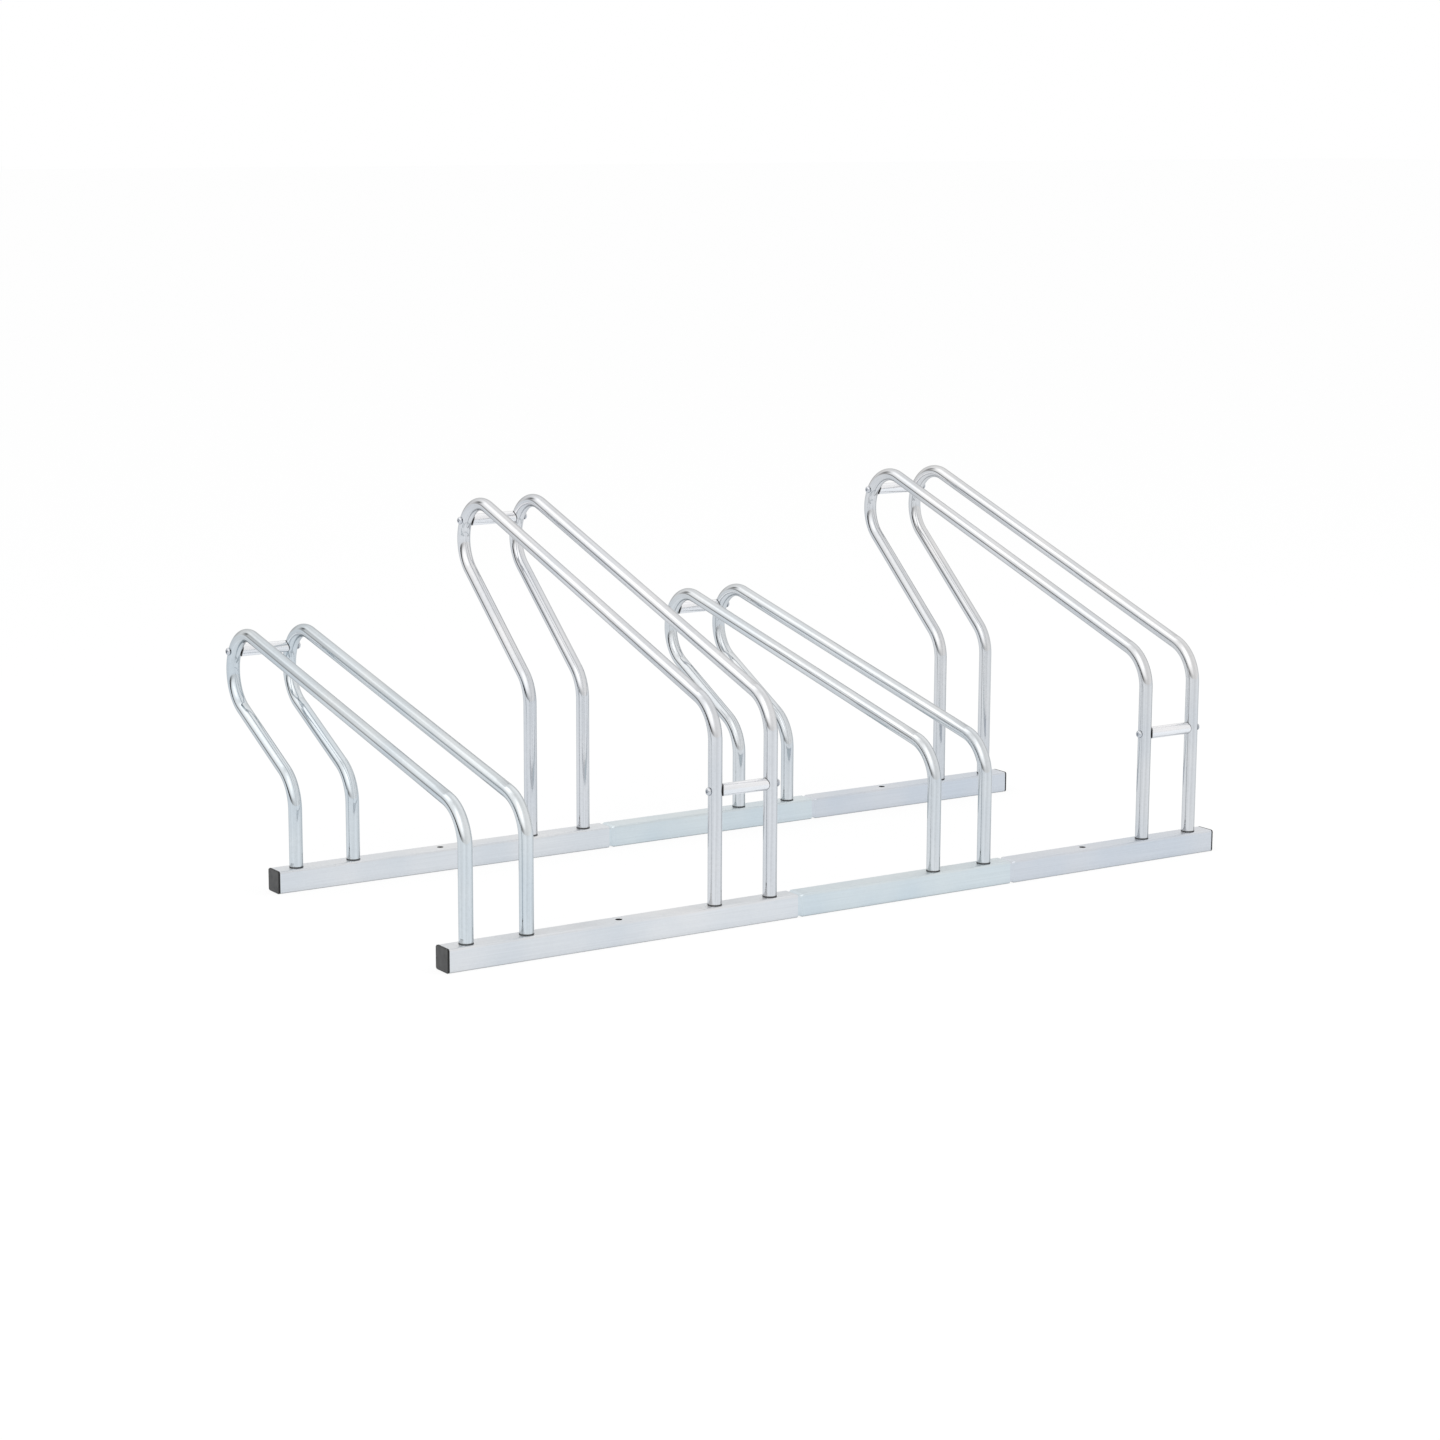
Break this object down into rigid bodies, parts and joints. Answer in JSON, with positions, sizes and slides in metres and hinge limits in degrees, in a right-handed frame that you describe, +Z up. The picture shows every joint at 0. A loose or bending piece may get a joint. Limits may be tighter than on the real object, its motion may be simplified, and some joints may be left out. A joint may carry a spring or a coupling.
{
  "type": "floor bike rack",
  "caption": "Low free-standing floor rack for bicycles: square-tube rails carry pairs of bent round hoops, alternately low and tall, with a wheel slot in each pair.",
  "frame": {"origin": "on the floor, under the middle of the whole rack's bounding box", "axes": "+X along the rails, to the right seen from the low front; +Y from the front rail to the rear rail and the noses; +Z up"},
  "size_m": [1.2, 0.666, 0.4795],
  "materials": {
    "rail_zinc": "satin",
    "hoop_zinc": "satin",
    "spacer_zinc": "satin",
    "fastener_zinc": "satin",
    "cap_plastic": "matte"
  },
  "bodies": {
    "root": {"low_hoop_1_left": "hoop_zinc", "low_hoop_1_right": "hoop_zinc", "tall_hoop_2_left": "hoop_zinc", "tall_hoop_2_right": "hoop_zinc", "low_hoop_3_left": "hoop_zinc", "low_hoop_3_right": "hoop_zinc", "tall_hoop_4_left": "hoop_zinc", "tall_hoop_4_right": "hoop_zinc", "front_rail_base": "rail_zinc", "front_rail_middle": "rail_zinc", "front_rail_end": "rail_zinc", "rear_rail_base": "rail_zinc", "rear_rail_middle": "rail_zinc", "rear_rail_end": "rail_zinc", "front_rail_left_cap": "cap_plastic", "front_rail_right_cap": "cap_plastic", "rear_rail_left_cap": "cap_plastic", "rear_rail_right_cap": "cap_plastic", "nose_spacer_1": "spacer_zinc", "nose_spacer_2": "spacer_zinc", "nose_spacer_3": "spacer_zinc", "nose_spacer_4": "spacer_zinc", "front_spacer_2": "spacer_zinc", "front_spacer_4": "spacer_zinc", "spacer_bolts": "fastener_zinc", "sleeve_nuts": "fastener_zinc", "foot_screws": "fastener_zinc", "leg_inserts": "fastener_zinc"}
  },
  "joints": []
}
